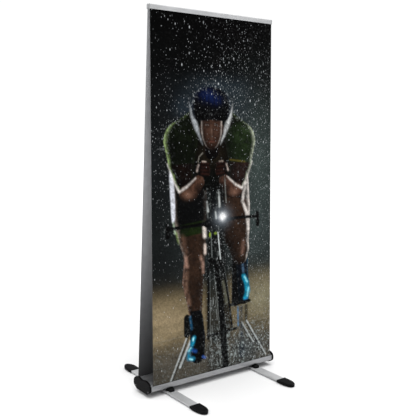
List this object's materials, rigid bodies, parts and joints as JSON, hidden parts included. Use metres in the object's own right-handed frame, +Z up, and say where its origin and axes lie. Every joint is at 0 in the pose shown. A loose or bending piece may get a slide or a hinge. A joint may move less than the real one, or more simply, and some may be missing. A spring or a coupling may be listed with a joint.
{
  "type": "roll-up banner stand",
  "caption": "Free-standing double-sided roll-up banner stand: leaning films on spring rollers in an aluminium base, clamp rails, telescopic pole and swivelling foot bars.",
  "frame": {"origin": "on the floor, at the middle of the footprint under the foot pads", "axes": "+Z up; +X along the width of the films; the front film faces -Y and the rear film faces +Y"},
  "size_m": [0.9026, 0.82, 2.1072],
  "materials": {
    "aluminium": "satin anodised",
    "steel": "satin",
    "black_plastic": "fine moulded texture",
    "grey_plastic": "matte",
    "printed_film": "matte print, grey back",
    "clamp_strip": "semi-gloss",
    "rubber": "matte"
  },
  "bodies": {
    "stand": {"base_housing": "aluminium", "left_end_cap": "black_plastic", "right_end_cap": "black_plastic", "left_cap_screw_front": "steel", "left_cap_screw_rear": "steel", "right_cap_screw_front": "steel", "right_cap_screw_rear": "steel", "front_spring_shaft": "steel", "front_idle_pin": "steel", "front_return_spring": "steel", "front_banner_tail": "printed_film", "front_banner": "printed_film", "rear_spring_shaft": "steel", "rear_idle_pin": "steel", "rear_return_spring": "steel", "rear_banner_tail": "printed_film", "rear_banner": "printed_film", "pole_socket": "black_plastic", "pole_lower_tube": "aluminium", "left_foot_saddle": "black_plastic", "right_foot_saddle": "black_plastic", "left_pivot_bolt": "steel", "right_pivot_bolt": "steel", "left_pivot_nut": "steel", "right_pivot_nut": "steel"},
    "lower_collar": {"pole_lower_collar": "black_plastic"},
    "pole_middle": {"pole_middle_tube": "aluminium"},
    "upper_collar": {"pole_upper_collar": "black_plastic"},
    "pole_top": {"pole_upper_tube": "aluminium", "pole_head": "black_plastic", "front_top_rail": "aluminium", "front_clamp_strip": "clamp_strip", "front_rail_cap_left": "grey_plastic", "front_rail_cap_right": "grey_plastic", "rear_top_rail": "aluminium", "rear_clamp_strip": "clamp_strip", "rear_rail_cap_left": "grey_plastic", "rear_rail_cap_right": "grey_plastic"},
    "front_roller": {"front_roller_tube": "aluminium", "front_roller_spring_plug": "black_plastic", "front_roller_idle_plug": "black_plastic", "front_banner_roll": "printed_film"},
    "rear_roller": {"rear_roller_tube": "aluminium", "rear_roller_spring_plug": "black_plastic", "rear_roller_idle_plug": "black_plastic", "rear_banner_roll": "printed_film"},
    "left_foot": {"left_foot_bar": "aluminium", "left_foot_cap_front": "black_plastic", "left_foot_cap_rear": "black_plastic", "left_foot_pad_front": "rubber", "left_foot_pad_rear": "rubber"},
    "right_foot": {"right_foot_bar": "aluminium", "right_foot_cap_front": "black_plastic", "right_foot_cap_rear": "black_plastic", "right_foot_pad_front": "rubber", "right_foot_pad_rear": "rubber"}
  },
  "joints": [
    {"name": "pole_middle_slide", "type": "slide", "parent": "stand", "child": "pole_middle", "axis": [0, 0, 1], "range_m": [-0.6, 0], "deforming": ["front_banner", "rear_banner"]},
    {"name": "pole_upper_slide", "type": "slide", "parent": "pole_middle", "child": "pole_top", "axis": [0, 0, 1], "range_m": [-0.6, 0]},
    {"name": "front_roller_spin", "type": "hinge", "parent": "stand", "child": "front_roller", "pos_m": [0, -0.044, 0.05], "axis": [1, 0, 0], "range_deg": [0, 3450]},
    {"name": "rear_roller_spin", "type": "hinge", "parent": "stand", "child": "rear_roller", "pos_m": [0, 0.044, 0.05], "axis": [1, 0, 0], "range_deg": [-3450, 0]},
    {"name": "left_foot_swivel", "type": "hinge", "parent": "stand", "child": "left_foot", "pos_m": [-0.31, 0, 0.0095], "axis": [0, 0, 1], "range_deg": [0, 80]},
    {"name": "right_foot_swivel", "type": "hinge", "parent": "stand", "child": "right_foot", "pos_m": [0.31, 0, 0.0095], "axis": [0, 0, 1], "range_deg": [0, 80]},
    {"name": "lower_collar_twist", "type": "hinge", "parent": "stand", "child": "lower_collar", "pos_m": [0, 0, 0.709], "axis": [0, 0, 1], "range_deg": [0, 90]},
    {"name": "upper_collar_twist", "type": "hinge", "parent": "pole_middle", "child": "upper_collar", "pos_m": [0, 0, 1.346], "axis": [0, 0, 1], "range_deg": [0, 90]}
  ],
  "couplings": [
    {"joint": "pole_upper_slide", "follows": "pole_middle_slide", "ratio": 1},
    {"joint": "front_roller_spin", "follows": "pole_middle_slide", "rad_per_m": -100},
    {"joint": "rear_roller_spin", "follows": "pole_middle_slide", "rad_per_m": 100}
  ]
}
